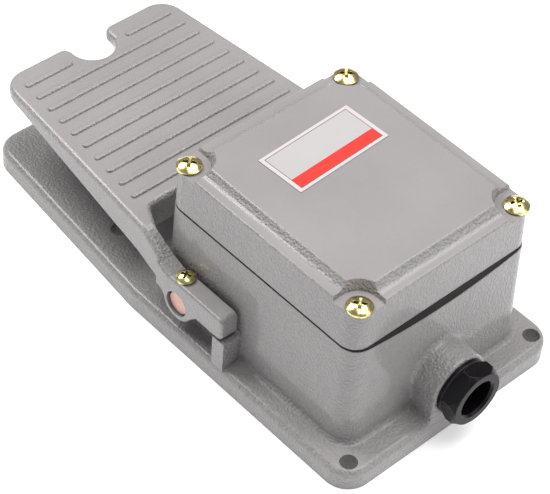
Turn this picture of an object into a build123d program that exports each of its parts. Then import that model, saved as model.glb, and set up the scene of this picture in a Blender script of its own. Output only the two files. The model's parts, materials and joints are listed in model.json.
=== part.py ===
# Industrial foot switch: a cast base with a switch box at one end and a hinged pedal over the other.
# X runs across the width, Y along the length towards the cable gland, Z up from the floor.
# The origin is the middle of the base plate, on the floor. Sizes are in millimetres and degrees.
from build123d import *
from math import cos, radians, sin, sqrt, tan
import os

os.makedirs("parts", exist_ok=True)

# Base plate
BASE_LENGTH = 210.0
BASE_WIDTH = 105.0
TOE_TAPER = 9.0
PLATE_TOP = 8.8
PLATE_CORNER = 10.0
PLATE_EDGE = 2.5
SKIRT = 7.0
UNDER_RECESS = 4.2
RIB_THICK = 3.0
RIB_X = (-24.0, 0.0, 24.0)
TOE_RIB_INSET = 35.0
FIXING_R = 3.25
REAR_HOLE_SIDE = 6.6
REAR_HOLE_INSET = 6.35
FRONT_HOLE_SIDE = 7.5
FRONT_HOLE_AHEAD = 32.6
HOLE_BOSS_R = 7.5
GLAND_END = BASE_LENGTH / 2
TOE_WIDTH = BASE_WIDTH - 2 * TOE_TAPER
REAR_HOLE_X = BASE_WIDTH / 2 - REAR_HOLE_SIDE
FRONT_HOLE_X = TOE_WIDTH / 2 - FRONT_HOLE_SIDE

# Switch box, cast in one piece with the base plate
SIDE_SHELF = 8.7
END_SHELF = 10.8
BOX_LENGTH = 98.8
BOX_CORNER = 8.0
BOX_FOOT = 2.0
BOX_DRAFT = 2.0
BOX_WALL = 4.6
FLOOR_Z = 8.0
RIM_Z = 54.2
RIM_DIP = 3.2
CAVITY_CORNER = 5.0
KINK_AHEAD = 5.4
BOX_WIDTH = BASE_WIDTH - 2 * SIDE_SHELF
BOX_Y = GLAND_END - END_SHELF - BOX_LENGTH / 2
BOX_FRONT_Y = BOX_Y - BOX_LENGTH / 2
KINK_Y = BOX_FRONT_Y - KINK_AHEAD
FRONT_HOLE_Y = BOX_FRONT_Y - FRONT_HOLE_AHEAD
CAVITY_WIDTH = BOX_WIDTH - 2 * BOX_WALL
CAVITY_LENGTH = BOX_LENGTH - 2 * BOX_WALL

# Cover and its gasket
GASKET = 1.2
GASKET_INSET = 0.3
COVER_SIDE_STEP = 1.1
COVER_END_STEP = 2.0
COVER_CORNER = 7.0
COVER_BOTTOM = RIM_Z + GASKET
COVER_WALL = 3.2
COVER_HEIGHT = 17.6
LEDGE_WIDTH = 4.8
LEDGE_EDGE = 0.8
PANEL_RISE = 2.6
PANEL_SLOPE = 36.0
PANEL_EDGE = 1.1
PANEL_COVE = 4.8
SCREW_SIDE = 5.3
SCREW_END = 4.8
POCKET_R = 7.6
POCKET_DRAFT = 20.0
POCKET_SINK = 1.7
COLUMN_R = 5.8
COLUMN_SPARE = 1.2
COVER_WIDTH = BOX_WIDTH - 2 * COVER_SIDE_STEP
COVER_LENGTH = BOX_LENGTH - 2 * COVER_END_STEP
LEDGE_Z = COVER_BOTTOM + COVER_HEIGHT
PANEL_TOP = LEDGE_Z + PANEL_RISE
COVER_CEILING = PANEL_TOP - COVER_WALL
POCKET_Z = LEDGE_Z - POCKET_SINK
SCREW_X = COVER_WIDTH / 2 - SCREW_SIDE
SCREW_Y = COVER_LENGTH / 2 - SCREW_END
COVER_SCREW_PLACES = [(x, y) for x in (-SCREW_X, SCREW_X) for y in (BOX_Y - SCREW_Y, BOX_Y + SCREW_Y)]
RIM_DIP_SPAN = 2 * SCREW_X - 0.8

# Label
LABEL_WIDTH = 43.5
LABEL_LENGTH = 20.8
LABEL_THICK = 0.3
LABEL_AT = (-2.1, BOX_Y - 17.05)
LABEL_TURN = 2.3

# Screws: shank radius, head radius, head height
M5 = (2.5, 4.7, 2.6)
M4 = (2.0, 3.7, 2.3)
M3 = (1.5, 2.8, 1.9)
HEAD_RIM = 0.35
CROSS_LENGTH = 1.15
CROSS_WIDTH = 0.26
CROSS_DEPTH = 0.6
CROSS_FLARE = 0.2
COVER_SCREW_TURNS = (48.0, 65.0, 42.0, 40.0)
ARM_SCREW_TURN = 25.0
FIT = 0.04
SCREW_CLEAR = 0.25
COVER_SCREW_BITE = 14.0
PLATE_SCREW_BITE = 8.0
TERMINAL_BITE = 3.0
SPOT_DEPTH = 1.5
RIVET_R = 1.2

# Pivot, shared by the shaft, its bushes, the pedal and the lever
PIVOT_Z = 21.2
PIVOT_BEHIND_FRONT = 18.8
SHAFT_R = 5.0
SHAFT_CLEAR = 0.05
PRESS_ANGLE = 10.0
BUSH_WALL = 2.0
BUSH_LENGTH = 7.0
HUB_R = 10.0
HUB_REACH = 5.2
SEAL_SECTION = 1.86
PIVOT_Y = BOX_FRONT_Y + PIVOT_BEHIND_FRONT
BUSH_R = SHAFT_R + BUSH_WALL
HUB_INNER_X = CAVITY_WIDTH / 2 - HUB_REACH

# Pedal
TOE_OVERHANG = 2.0
PEDAL_SIDE_GAP = 3.1
PEDAL_TOP = 40.5
PEDAL_UNDER = 36.2
PEDAL_CORNER = 10.0
PEDAL_EDGE = 2.0
FLANGE = 5.0
FLANGE_TOE_Z = 36.9
FLANGE_REAR_Z = 27.4
NOTCH_R = 8.75
NOTCH_DEPTH = 13.6
NOTCH_MOUTH_R = 4.0
SLOT_GAP = 11.2
SLOT_CORNER_STEP = 5.3
SLOT_CORNER = 3.0
ARM_STEP = 1.55
ARM_START_BEHIND_SLOT = 10.8
ARM_BLOCK_AHEAD = 11.2
ARM_HEEL = 2.0
ARM_CHIN = 3.0
BEND_AHEAD = 21.7
FLANGE_REAR_AHEAD = 25.2
HEAD_MARGIN = 0.5
ARM_GAP = 1.0
ARM_MARGIN = 0.5
ARM_TOP = 32.0
ARM_BOSS_R = 7.4
TAIL_LENGTH = 24.3
TAIL_UNDER = 21.9
TAIL_CORNER = 2.4
ARM_EDGE = 1.2
BEND_R = 12.0
PEDAL_RIB_X = 14.0
ARM_HOLE_PLAY = 0.2
ARM_SCREW_INSET = 2.9
SHAFT_RECESS = 1.0
TREAD_COUNT = 10
TREAD_TOE_GAP = 9.4
TREAD_REAR_GAP = 6.75
TREAD_WIDTH = 2.4
TREAD_HEIGHT = 0.9
TREAD_EDGE = 0.8
TREAD_INSET = 5.6
TREAD_NOTCH_GAP = 4.5
TREAD_SUNK = 0.2
PEDAL_TOE_Y = TOE_OVERHANG - GLAND_END
PEDAL_TOE_WIDTH = TOE_WIDTH - 2 * PEDAL_SIDE_GAP
ARM_OUTER = BASE_WIDTH / 2 - ARM_MARGIN
ARM_INNER = BOX_WIDTH / 2 + ARM_GAP
ARM_SCREW_X = ARM_INNER + ARM_SCREW_INSET
PEDAL_REAR_WIDTH = 2 * (ARM_OUTER - ARM_STEP)
NOTCH_BOTTOM_Y = PEDAL_TOE_Y + NOTCH_DEPTH
SLOT_Y = BOX_FRONT_Y - SLOT_GAP
SLOT_WIDTH = 2 * (ARM_INNER - SLOT_CORNER_STEP)
ARM_START_Y = SLOT_Y + ARM_START_BEHIND_SLOT
ARM_BLOCK_Y = PIVOT_Y - ARM_BLOCK_AHEAD
BEND_Y = PIVOT_Y - BEND_AHEAD
FLANGE_REAR_Y = PIVOT_Y - FLANGE_REAR_AHEAD
TAIL_END_Y = PIVOT_Y + TAIL_LENGTH
TREAD_FIRST_Y = PEDAL_TOE_Y + TREAD_TOE_GAP
TREAD_PITCH = (SLOT_Y - TREAD_REAR_GAP - TREAD_FIRST_Y) / (TREAD_COUNT - 1)

# Post under each arm's tail, the pedal's upper stop
POST_LENGTH = 6.0
POST_OVERLAP = 4.5
STOP_GAP = 0.3
POST_Y = TAIL_END_Y - POST_OVERLAP

# Lever on the shaft, inside the box; the plunger stands on its end
LEVER_WIDTH = 12.0
LEVER_HUB_WALL = 3.5
LEVER_TOP = 27.0
LEVER_THICK = 6.0
LEVER_PAST_PLUNGER = 5.0
PLUNGER_REACH = 37.8
PIN_R = 1.5
LEVER_HUB_R = SHAFT_R + LEVER_HUB_WALL
PLUNGER_Y = PIVOT_Y + PLUNGER_REACH
LEVER_END_Y = PLUNGER_Y + LEVER_PAST_PLUNGER
LEVER_RISE = LEVER_TOP - PIVOT_Z
LEVER_LIFT = (LEVER_END_Y - PIVOT_Y) * sin(radians(PRESS_ANGLE)) + LEVER_RISE * cos(radians(PRESS_ANGLE))

# Mounting plate on four cast pillars, its underside is the lever's lower stop
PLATE_THICK = 2.0
PLATE_MARGIN = 5.0
PILLAR_SIDE = 8.2
PILLAR_R = 4.5
PILLAR_SHAFT_GAP = 2.3
PILLAR_X = CAVITY_WIDTH / 2 - PILLAR_SIDE
MOUNT_Z = PIVOT_Z + LEVER_LIFT + STOP_GAP
BLOCK_Z = MOUNT_Z + PLATE_THICK

# Contact block
PLUNGER_R = 4.0
STEM_R = 3.0
BLOCK_WIDTH = 34.0
BLOCK_LENGTH = 32.0
BLOCK_HEIGHT = 22.0
BLOCK_FLOOR = 4.0
BLOCK_SIDE = 2.0
BLOCK_END = 6.0
LID_THICK = 2.0
SHELF_REACH = 11.0
SHELF_LENGTH = 13.5
STRIP_THICK = 1.2
STRIP_WIDTH = 5.0
PAD_R = 2.0
PAD_THICK = 1.0
BRIDGE_THICK = 1.5
BRIDGE_WIDTH = 28.0
BRIDGE_LENGTH = 16.0
CONTACT_X = 11.0
CONTACT_OFFSET = 5.8
CONTACT_GAP = 0.3
SLIDE_CLEAR = 0.1
BLOCK_TOP = BLOCK_Z + BLOCK_HEIGHT
TERMINAL_X = BLOCK_WIDTH / 2 + SHELF_REACH / 2
PILLAR_FRONT_Y = PIVOT_Y + SHAFT_R + PILLAR_SHAFT_GAP + PILLAR_R
PILLAR_REAR_Y = PLUNGER_Y + BLOCK_LENGTH / 2 + M4[1] + HEAD_MARGIN
PILLAR_Y = (PILLAR_FRONT_Y, PILLAR_REAR_Y)
PLATE_WIDTH = 2 * (PILLAR_X + PLATE_MARGIN)
PLATE_Y = (PILLAR_Y[0] - PLATE_MARGIN - 1, PILLAR_Y[1] + PLATE_MARGIN)

# The plunger's rise, and the heights of its bridge and of the two rows of contacts
TIP_Z = LEVER_TOP + STOP_GAP
DOME_HIGH = (LEVER_RISE + PLUNGER_R + PLUNGER_REACH * sin(radians(PRESS_ANGLE))) / cos(radians(PRESS_ANGLE))
PLUNGER_TRAVEL = DOME_HIGH - PLUNGER_R - LEVER_RISE
CLOSED_SHELF_Z = BLOCK_Z + BLOCK_FLOOR
BRIDGE_Z = CLOSED_SHELF_Z + STRIP_THICK + PAD_THICK + SLIDE_CLEAR
OPEN_SHELF_Z = BRIDGE_Z + BRIDGE_THICK + PLUNGER_TRAVEL + CONTACT_GAP + PAD_THICK

# Return spring and its cup
SPRING_AHEAD = 24.0
SPRING_MEAN_R = 5.1
SPRING_WIRE = 1.8
SPRING_TURNS = 6
CUP_PLAY = 0.5
CUP_WALL = 0.9
CUP_HEIGHT = 17.4
SPRING_Y = PLUNGER_Y - SPRING_AHEAD
CUP_R = SPRING_MEAN_R + SPRING_WIRE / 2 + CUP_PLAY + CUP_WALL
CUP_TOP = BLOCK_Z + CUP_HEIGHT
RIVET_X = CUP_R + 2 * RIVET_R + 0.5

# Cable gland
GLAND_Z = 21.0
GLAND_BOSS_R = 12.5
GLAND_BOSS_EDGE = 1.0
GLAND_THREAD_R = 9.2
GLAND_BORE_R = 7.3
GLAND_DEPTH = 10.0
GLAND_FLANGE_R = 11.3
GLAND_FLANGE = 1.5
GLAND_HEX = 21.5
GLAND_REACH = 8.7
GLAND_TURN = 45.0
GLAND_BEVEL = 30.0
GLAND_BACK_BEVEL = 45.0
CABLE_R = 5.5
SEAL_LENGTH = 5.0
WASHER_THICK = 1.0

# Earth point in the box
EARTH_BESIDE_COLUMN = 15.4
EARTH_BEFORE_COLUMN = 5.4
EARTH_AT = (EARTH_BESIDE_COLUMN - SCREW_X, BOX_Y + SCREW_Y - EARTH_BEFORE_COLUMN)
EARTH_PAD_R = 5.5
EARTH_Z = 12.0
EARTH_BITE = 6.0


def block(width, length, radius, bottom, top, centre_y, draft=0.0):
    """an upright block with round corners, narrowing upwards by its draft angle"""
    outline = Pos(0, centre_y, bottom) * RectangleRounded(width, length, radius)
    return extrude(outline, top - bottom, taper=draft)


def box(x, y, z):
    """a box between three pairs of limits"""
    centre = Pos((x[0] + x[1]) / 2, (y[0] + y[1]) / 2, (z[0] + z[1]) / 2)
    return centre * Box(x[1] - x[0], y[1] - y[0], z[1] - z[0])


def upright(radius, x, y, bottom, top):
    """a cylinder standing between two heights"""
    return Pos(x, y, (bottom + top) / 2) * Cylinder(radius, top - bottom)


def across(radius, start_x, end_x, y=PIVOT_Y, z=PIVOT_Z):
    """a cylinder along X"""
    return Pos((start_x + end_x) / 2, y, z) * Rot(0, 90, 0) * Cylinder(radius, end_x - start_x)


def along(radius, start_y, end_y, x=0.0, z=GLAND_Z):
    """a cylinder along Y"""
    return Pos(x, (start_y + end_y) / 2, z) * Rot(90, 0, 0) * Cylinder(radius, end_y - start_y)


def side_prism(points, start_x, end_x):
    """a solid with a given side view of (y, z) points, between two X places"""
    face = Plane.YZ * make_face(Polyline(*points, close=True))
    return Pos(start_x, 0, 0) * extrude(face, end_x - start_x)


def both_sides(shape):
    """the shape and its mirror image in the middle plane"""
    return [shape, mirror(shape, Plane.YZ)]


def corners(x, y_values):
    """the four places left and right at two Y places"""
    return [(side * x, y) for side in (-1, 1) for y in y_values]


def cross_recess(head_r, depth):
    """the cross in a screw head: two slots whose floors slope down to the middle"""
    half, width = CROSS_LENGTH * head_r / 2, CROSS_WIDTH * head_r
    slot = side_prism([(-half, 1), (half, 1), (half, -CROSS_FLARE * depth), (width / 2, -depth),
                       (-width / 2, -depth), (-half, -CROSS_FLARE * depth)], -width / 2, width / 2)
    return slot + Rot(0, 0, 90) * slot


def pan_screw(size, x, y, seat_z, tip_z, turn=0.0):
    """a pan-head screw, head up: a short rim under a flat dome, with a cross recess at a given turn"""
    shank_r, head_r, head_height = size
    rim = HEAD_RIM * head_height
    crown = head_height - rim
    dome_r = (head_r ** 2 + crown ** 2) / (2 * crown)
    head = upright(head_r, 0, 0, 0, head_height) & Pos(0, 0, head_height - dome_r) * Sphere(dome_r)
    head -= Pos(0, 0, head_height) * Rot(0, 0, turn) * cross_recess(head_r, CROSS_DEPTH * head_height)
    return Pos(x, y, seat_z) * (head + upright(shank_r, 0, 0, tip_z - seat_z, 0))


def plate_outline():
    """the base plate's plan: straight sides to the kink, then a taper to the toe"""
    half, toe, end = BASE_WIDTH / 2, TOE_WIDTH / 2, GLAND_END
    plan = make_face(Polyline((-half, end), (half, end), (half, KINK_Y), (toe, -end), (-toe, -end),
                              (-half, KINK_Y), close=True))
    ends = [v for v in plan.vertices() if abs(v.Y) > end - 1]
    return fillet(ends, PLATE_CORNER)


def base_plate():
    """the plate with its rounded top edge and the ribbed recess underneath"""
    plate = extrude(plate_outline(), PLATE_TOP)
    plate = fillet(plate.edges().group_by(Axis.Z)[-1], PLATE_EDGE)
    recess = extrude(offset(plate_outline(), -SKIRT), UNDER_RECESS)
    for y in (TOE_RIB_INSET - GLAND_END, FRONT_HOLE_Y, BOX_FRONT_Y, BOX_Y):
        recess -= box((-BASE_WIDTH, BASE_WIDTH), (y - RIB_THICK / 2, y + RIB_THICK / 2), (0, UNDER_RECESS))
    for x in RIB_X:
        recess -= box((x - RIB_THICK / 2, x + RIB_THICK / 2), (-BASE_LENGTH, BASE_LENGTH), (0, UNDER_RECESS))
    for x, y in fixing_holes():
        recess -= upright(HOLE_BOSS_R, x, y, 0, UNDER_RECESS)
    return plate - recess


def fixing_holes():
    """the places of the four holes for fixing the switch down"""
    return [(-REAR_HOLE_X, GLAND_END - REAR_HOLE_INSET), (REAR_HOLE_X, GLAND_END - REAR_HOLE_INSET),
            (-FRONT_HOLE_X, FRONT_HOLE_Y), (FRONT_HOLE_X, FRONT_HOLE_Y)]


def rim_dip():
    """the cylinder whose underside bows the rim down over the gland"""
    radius = (RIM_DIP_SPAN ** 2 / 4 + RIM_DIP ** 2) / (2 * RIM_DIP)
    start = BOX_Y + CAVITY_LENGTH / 2 - 1
    return along(radius, start, start + 3 * BOX_WALL, z=RIM_Z + radius - RIM_DIP)


def gland_boss():
    """the round-topped boss for the gland, with straight sides down into the plate"""
    outline = Circle(GLAND_BOSS_R) + Pos(0, (PLATE_TOP - 1 - GLAND_Z) / 2) * Rectangle(
        2 * GLAND_BOSS_R, GLAND_Z - PLATE_TOP + 1)
    start = BOX_Y + CAVITY_LENGTH / 2
    boss = Pos(0, GLAND_END, GLAND_Z) * Rot(90, 0, 0) * extrude(outline, GLAND_END - start)
    front = [e for e in boss.edges() if e.center().Y > GLAND_END - 0.01 and e.center().Z > PLATE_TOP]
    return fillet(front, GLAND_BOSS_EDGE)


def is_foot(edge):
    """whether the box or the gland boss rises from the plate at this edge, or the boss from the wall"""
    centre = edge.center()
    wall_y = BOX_Y + BOX_LENGTH / 2
    round_box = abs(centre.X) < BOX_WIDTH / 2 + 1 and BOX_FRONT_Y - 1 < centre.Y < wall_y + 1
    round_boss = abs(centre.X) < GLAND_BOSS_R + 0.1 and centre.Y > wall_y - 1.5
    if round_boss and centre.Z > PLATE_TOP + 1:
        return centre.Y < wall_y + 0.1
    beside_boss = round_boss and abs(centre.X) > GLAND_BOSS_R - 0.1
    return (round_box or beside_boss) and abs(centre.Z - PLATE_TOP) < 1


def base_casting():
    """base plate, box, posts, pillars and gland boss in one casting"""
    casting = base_plate() + block(BOX_WIDTH, BOX_LENGTH, BOX_CORNER, PLATE_TOP, RIM_Z, BOX_Y, BOX_DRAFT)
    casting += gland_boss()
    casting = fillet([e for e in casting.edges() if is_foot(e)], BOX_FOOT)
    post_top = TAIL_UNDER - STOP_GAP
    post_x = (BOX_WIDTH / 2 - 3, BASE_WIDTH / 2 - 0.4)
    post = box(post_x, (POST_Y, POST_Y + POST_LENGTH), (PLATE_TOP - 1, post_top))
    for shape in both_sides(post):
        casting += shape
    casting -= block(CAVITY_WIDTH, CAVITY_LENGTH, CAVITY_CORNER, FLOOR_Z, RIM_Z + 1, BOX_Y)
    within = block(BOX_WIDTH - 2, BOX_LENGTH - 2, BOX_CORNER - 1, FLOOR_Z, RIM_Z, BOX_Y, BOX_DRAFT)
    inside = [upright(COLUMN_R, x, y, FLOOR_Z, RIM_Z) & within for x, y in COVER_SCREW_PLACES]
    for x, y in corners(PILLAR_X, PILLAR_Y):
        inside.append(upright(PILLAR_R, x, y, FLOOR_Z, MOUNT_Z))
    inside += both_sides(across(HUB_R, HUB_INNER_X, CAVITY_WIDTH / 2 + 1))
    inside.append(upright(EARTH_PAD_R, EARTH_AT[0], EARTH_AT[1], FLOOR_Z, EARTH_Z))
    for shape in inside:
        casting += shape
    casting -= rim_dip()
    for shape in both_sides(across(BUSH_R + FIT, HUB_INNER_X - 1, BOX_WIDTH)):
        casting -= shape
    for x, y in COVER_SCREW_PLACES:
        casting -= upright(M5[0] + FIT, x, y, RIM_Z - COVER_SCREW_BITE - 1, RIM_Z)
    for x, y in corners(PILLAR_X, PILLAR_Y):
        casting -= upright(M4[0] + FIT, x, y, MOUNT_Z - PLATE_SCREW_BITE - 1, MOUNT_Z)
    casting -= upright(M4[0] + FIT, EARTH_AT[0], EARTH_AT[1], EARTH_Z - EARTH_BITE, EARTH_Z)
    for x, y in fixing_holes():
        casting -= upright(FIXING_R, x, y, 0, PLATE_TOP)
    casting -= along(GLAND_THREAD_R, GLAND_END - GLAND_DEPTH, GLAND_END)
    casting -= along(GLAND_BORE_R, BOX_Y + CAVITY_LENGTH / 2 - 1, GLAND_END)
    return casting


def screw_pocket(x, y, wall=0.0):
    """the low step in one corner of the cover, or with a wall the metal that has to stay round it"""
    radius, size = POCKET_R + wall, COVER_WIDTH / 2
    reach = size / 2 - radius
    centre = Pos(x + (reach if x > 0 else -reach), y + (reach if y > BOX_Y else -reach), POCKET_Z - wall)
    outline = centre * RectangleRounded(size, size, radius)
    return extrude(outline, PANEL_TOP + 1 - POCKET_Z, taper=-POCKET_DRAFT)


def cover():
    """a shell with a ledge round a raised panel, and four low corners for the screws"""
    shell = block(COVER_WIDTH, COVER_LENGTH, COVER_CORNER, COVER_BOTTOM, LEDGE_Z, BOX_Y, BOX_DRAFT)
    shell = fillet(shell.edges().group_by(Axis.Z)[-1], LEDGE_EDGE)
    inset = 2 * ((LEDGE_Z - COVER_BOTTOM) * tan(radians(BOX_DRAFT)) + LEDGE_WIDTH)
    width, length = COVER_WIDTH - inset, COVER_LENGTH - inset
    panel = block(width, length, COVER_CORNER - 1, LEDGE_Z, PANEL_TOP, BOX_Y, PANEL_SLOPE)
    shell += fillet(panel.edges().group_by(Axis.Z)[-1], PANEL_EDGE)
    foot = [e for e in shell.edges() if abs(e.center().Z - LEDGE_Z) < 0.01
            and abs(e.center().X) < width / 2 + 0.1 and abs(e.center().Y - BOX_Y) < length / 2 + 0.1]
    shell = fillet(foot, PANEL_COVE)
    step = LEDGE_Z - COVER_WALL
    hollow = block(width - COVER_WALL, length - COVER_WALL, COVER_CORNER - 2, step - 1, COVER_CEILING, BOX_Y)
    width, length = COVER_WIDTH - 2 * COVER_WALL, COVER_LENGTH - 2 * COVER_WALL
    hollow += block(width, length, COVER_CORNER - 2, COVER_BOTTOM, step, BOX_Y, BOX_DRAFT)
    for x, y in COVER_SCREW_PLACES:
        hollow -= upright(COLUMN_R + COLUMN_SPARE, x, y, COVER_BOTTOM, PANEL_TOP)
        hollow -= screw_pocket(x, y, wall=POCKET_Z - step)
    shell -= hollow
    for x, y in COVER_SCREW_PLACES:
        shell -= screw_pocket(x, y)
        shell -= upright(M5[0] + SCREW_CLEAR, x, y, COVER_BOTTOM, POCKET_Z)
    return shell


def cover_gasket():
    """a flat rubber frame that grows thicker where the rim dips over the gland"""
    width, length = COVER_WIDTH - GASKET_INSET, COVER_LENGTH + GASKET_INSET
    outer = block(width, length, COVER_CORNER, RIM_Z - RIM_DIP, COVER_BOTTOM, BOX_Y)
    frame = outer - block(CAVITY_WIDTH, CAVITY_LENGTH, CAVITY_CORNER, 0, COVER_BOTTOM, BOX_Y)
    for x, y in COVER_SCREW_PLACES:
        frame += upright(COLUMN_R, x, y, RIM_Z, COVER_BOTTOM) & outer
        frame -= upright(M5[0] + SCREW_CLEAR, x, y, RIM_Z - RIM_DIP, COVER_BOTTOM)
    above_rim = block(2 * BOX_WIDTH, 2 * BOX_LENGTH, 1, RIM_Z, COVER_BOTTOM + 1, BOX_Y)
    return frame & (above_rim + rim_dip())


def cover_screws():
    """four pan-head screws in the cover's corners"""
    tip = RIM_Z - COVER_SCREW_BITE
    return [pan_screw(M5, x, y, POCKET_Z, tip, turn)
            for (x, y), turn in zip(COVER_SCREW_PLACES, COVER_SCREW_TURNS)]


def label_plate():
    """the thin plate stuck on the raised panel, a little askew"""
    plate = Box(LABEL_WIDTH, LABEL_LENGTH, LABEL_THICK)
    return Pos(LABEL_AT[0], LABEL_AT[1], PANEL_TOP + LABEL_THICK / 2) * Rot(0, 0, LABEL_TURN) * plate


def pedal_half_width(y):
    """the pedal's half width at a Y place, along its straight tapering side"""
    taper = (PEDAL_REAR_WIDTH - PEDAL_TOE_WIDTH) / 2 / (ARM_BLOCK_Y - PEDAL_TOE_Y)
    return PEDAL_TOE_WIDTH / 2 + (y - PEDAL_TOE_Y) * taper


def pedal_plan():
    """the treadle's plan: tapering sides, round toe corners and the notch in the toe"""
    toe, rear = pedal_half_width(PEDAL_TOE_Y), pedal_half_width(ARM_BLOCK_Y)
    plan = make_face(Polyline((-toe, PEDAL_TOE_Y), (toe, PEDAL_TOE_Y), (rear, ARM_BLOCK_Y),
                              (-rear, ARM_BLOCK_Y), close=True))
    plan = fillet([v for v in plan.vertices() if v.Y < PEDAL_TOE_Y + 1], PEDAL_CORNER)
    centre_y = NOTCH_BOTTOM_Y - NOTCH_R
    depth = 2 * (centre_y - PEDAL_TOE_Y)
    plan -= Pos(0, centre_y) * Circle(NOTCH_R)
    plan -= Pos(0, centre_y - depth / 2) * Rectangle(2 * NOTCH_R, depth)
    mouth = [v for v in plan.vertices() if v.Y < PEDAL_TOE_Y + 0.1 and abs(v.X) < NOTCH_R + 0.1]
    return fillet(mouth, NOTCH_MOUTH_R)


def arm_gap_plan():
    """the space between the arms, with its front corners drawn in"""
    front, rear = SLOT_WIDTH / 2, ARM_INNER
    end = TAIL_END_Y + 5
    gap = make_face(Polyline((-front, SLOT_Y), (front, SLOT_Y), (rear, ARM_START_Y), (rear, end),
                             (-rear, end), (-rear, ARM_START_Y), close=True))
    return fillet([v for v in gap.vertices() if v.Y < SLOT_Y + 1], SLOT_CORNER)


def pedal_side():
    """the pedal's side view: treadle flange, bend, pivot boss and tail"""
    boss_drop = ARM_BOSS_R * 0.5
    boss_side = ARM_BOSS_R * sqrt(3) / 2
    outline = make_face(Polyline(
        (PEDAL_TOE_Y, PEDAL_TOP), (BEND_Y, PEDAL_TOP), (ARM_BLOCK_Y + ARM_HEEL / 2, ARM_TOP + ARM_HEEL),
        (PIVOT_Y - M4[1] - HEAD_MARGIN, ARM_TOP), (TAIL_END_Y, ARM_TOP), (TAIL_END_Y, TAIL_UNDER),
        (PIVOT_Y + ARM_BOSS_R + ARM_CHIN, TAIL_UNDER), (PIVOT_Y + boss_drop, PIVOT_Z - boss_side),
        (PIVOT_Y - boss_drop, PIVOT_Z - boss_side), (PIVOT_Y - ARM_BOSS_R - ARM_HEEL, PIVOT_Z + ARM_HEEL),
        (FLANGE_REAR_Y, FLANGE_REAR_Z), (PEDAL_TOE_Y, FLANGE_TOE_Z), close=True))
    outline = fillet([v for v in outline.vertices() if abs(v.X - BEND_Y) < 0.1], BEND_R)
    outline = fillet([v for v in outline.vertices() if abs(v.X - TAIL_END_Y) < 0.1], TAIL_CORNER)
    return outline + Pos(PIVOT_Y, PIVOT_Z) * Circle(ARM_BOSS_R)


def treads():
    """low half-round ridges across the treadle; the first stops either side of the notch"""
    ridges = []
    for k in range(TREAD_COUNT):
        y = TREAD_FIRST_Y + k * TREAD_PITCH
        reach = pedal_half_width(y) - TREAD_INSET
        spans = [(-reach, reach)]
        if y < NOTCH_BOTTOM_Y + TREAD_WIDTH:
            stop = NOTCH_R + TREAD_NOTCH_GAP
            spans = [(-reach, -stop), (stop, reach)]
        for start, end in spans:
            place = Pos((start + end) / 2, y, PEDAL_TOP - TREAD_SUNK)
            outline = place * SlotOverall(end - start, TREAD_WIDTH)
            ridge = extrude(outline, TREAD_HEIGHT + TREAD_SUNK)
            ridges.append(fillet(ridge.edges().group_by(Axis.Z)[-1], TREAD_EDGE))
    return ridges


def pedal():
    """treadle and both arms in one casting, hollow underneath with two ribs"""
    reach = ARM_OUTER
    profile = Pos(-reach, 0, 0) * extrude(Plane.YZ * pedal_side(), 2 * reach)
    front = extrude(pedal_plan(), PEDAL_TOP + 5)
    rear = box((-reach, reach), (ARM_BLOCK_Y, TAIL_END_Y + 1), (0, PEDAL_TOP + 5))
    body = profile & (front + rear)
    body -= extrude(arm_gap_plan(), PEDAL_TOP + 5)
    rim = [e for e in body.edges() if abs(e.center().Z - PEDAL_TOP) < 0.01 and e.center().Y < SLOT_Y + 1]
    body = fillet(rim, PEDAL_EDGE)
    outer = [e for e in body.edges() if abs(abs(e.center().X) - ARM_OUTER) < 0.01
             and e.center().Y > ARM_BLOCK_Y + 1]
    body = fillet(outer, ARM_EDGE)
    hollow = extrude(offset(pedal_plan(), -FLANGE), PEDAL_UNDER)
    hollow &= box((-reach, reach), (PEDAL_TOE_Y, SLOT_Y - FLANGE), (0, PEDAL_UNDER))
    for x in (-PEDAL_RIB_X, PEDAL_RIB_X):
        hollow -= box((x - RIB_THICK / 2, x + RIB_THICK / 2), (PEDAL_TOE_Y, SLOT_Y), (0, PEDAL_UNDER))
    body -= hollow
    for ridge in treads():
        body += ridge
    hole_r = SHAFT_R + ARM_HOLE_PLAY
    for shape in both_sides(across(hole_r, ARM_INNER - 1, ARM_OUTER + 1, z=PIVOT_Z + ARM_HOLE_PLAY)):
        body -= shape
    for x in (-ARM_SCREW_X, ARM_SCREW_X):
        body -= upright(M4[0] + FIT, x, PIVOT_Y, PIVOT_Z, ARM_TOP + 1)
    return body


def arm_set_screws():
    """the screw down through each arm that grips the shaft"""
    tip = PIVOT_Z + SHAFT_R - SPOT_DEPTH
    return [pan_screw(M4, x, PIVOT_Y, ARM_TOP, tip, ARM_SCREW_TURN) for x in (-ARM_SCREW_X, ARM_SCREW_X)]


def hinge_shaft():
    """the through shaft, with a spot hole for each set screw and a cross hole for the lever pin"""
    end = ARM_OUTER - SHAFT_RECESS
    shaft = across(SHAFT_R, -end, end)
    shaft = chamfer(shaft.edges().filter_by(GeomType.CIRCLE), 0.5)
    for x in (-ARM_SCREW_X, ARM_SCREW_X):
        shaft -= upright(M4[0] + FIT, x, PIVOT_Y, PIVOT_Z + SHAFT_R - SPOT_DEPTH - 0.1, PIVOT_Z + SHAFT_R + 1)
    return shaft - upright(PIN_R + FIT, 0, PIVOT_Y, PIVOT_Z - SHAFT_R - 1, PIVOT_Z + SHAFT_R + 1)


def shaft_bushes():
    """a plain bronze bush in each side wall"""
    bush = across(BUSH_R, HUB_INNER_X, HUB_INNER_X + BUSH_LENGTH)
    bush -= across(SHAFT_R + SHAFT_CLEAR, HUB_INNER_X - 1, HUB_INNER_X + BUSH_LENGTH + 1)
    return both_sides(bush)


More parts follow.
